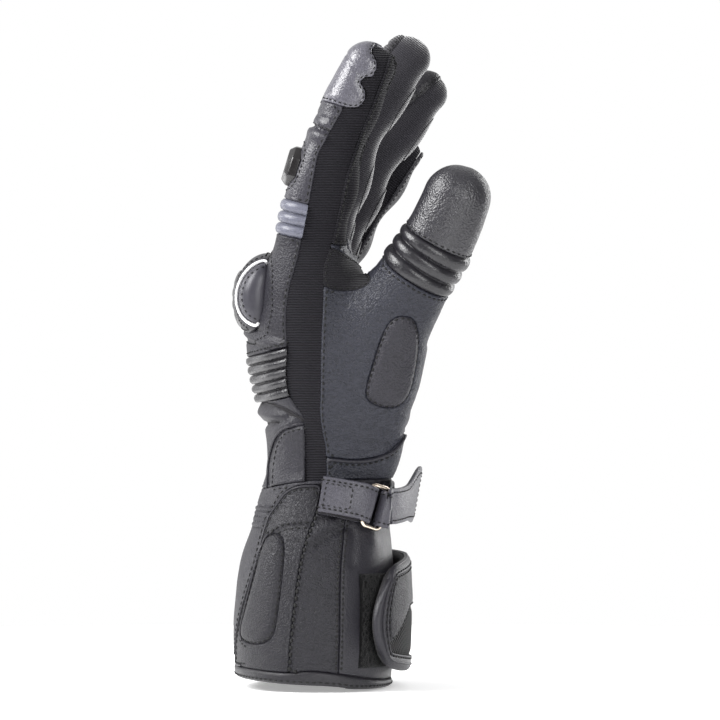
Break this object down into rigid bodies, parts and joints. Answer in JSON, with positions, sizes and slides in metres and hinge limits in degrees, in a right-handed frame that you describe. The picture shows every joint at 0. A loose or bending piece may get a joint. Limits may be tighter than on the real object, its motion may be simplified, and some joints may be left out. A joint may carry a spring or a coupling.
{
  "type": "motorcycle gauntlet",
  "caption": "Left-hand long-cuff leather riding glove in its worn form, fingers up, with padded knuckle guard, finger accordions, wrist strap with ring and cuff flap.",
  "frame": {"origin": "middle of the cuff's mouth, level with the lowest edge of the hem", "axes": "+Z from the cuff's mouth to the fingertips, +X out of the palm, -Y on the thumb's side"},
  "size_m": [0.1168, 0.1261, 0.2992],
  "materials": {
    "leather": "grained, semi-matte black",
    "stretch_cloth": "finely ribbed, matte black",
    "grey_leather": "smooth, bluish grey",
    "slider_plastic": "satin black",
    "guard_plate": "satin dark grey with a bright edge",
    "ring_metal": "satin champagne",
    "hook_tape": "fuzzy black"
  },
  "bodies": {
    "root": {"wrist_back": "leather", "back_ribs": "leather", "back_panel": "leather", "gusset_thumb_side": "stretch_cloth", "gusset_little_side": "stretch_cloth", "palm_panel": "leather", "thumb_panel": "leather", "wrist_front": "leather", "thumb_web": "stretch_cloth", "thumb_ribs": "leather", "thumb_cap": "leather", "palm_pad": "leather", "guard_base": "leather", "guard_plate": "guard_plate", "cuff_back": "leather", "cuff_side": "leather", "cuff_mid": "leather", "cuff_outer": "leather", "cuff_palm": "leather", "cuff_pad": "leather", "cuff_hem": "leather", "cuff_flap": "leather", "flap_patch": "hook_tape", "strap_anchor": "leather", "strap_ring": "ring_metal", "wrist_strap": "leather", "index_ribs": "grey_leather", "index_back": "leather", "index_cap": "leather", "index_wall": "stretch_cloth", "index_front": "leather", "index_slider": "slider_plastic", "middle_ribs": "grey_leather", "middle_back": "leather", "middle_cap": "leather", "middle_wall": "stretch_cloth", "middle_front": "leather", "middle_slider": "slider_plastic", "ring_ribs": "grey_leather", "ring_back": "leather", "ring_cap": "leather", "ring_wall": "stretch_cloth", "ring_front": "leather", "ring_slider": "slider_plastic", "little_ribs": "grey_leather", "little_back": "leather", "little_cap": "leather", "little_wall": "stretch_cloth", "little_front": "leather", "little_slider": "slider_plastic"}
  },
  "joints": []
}
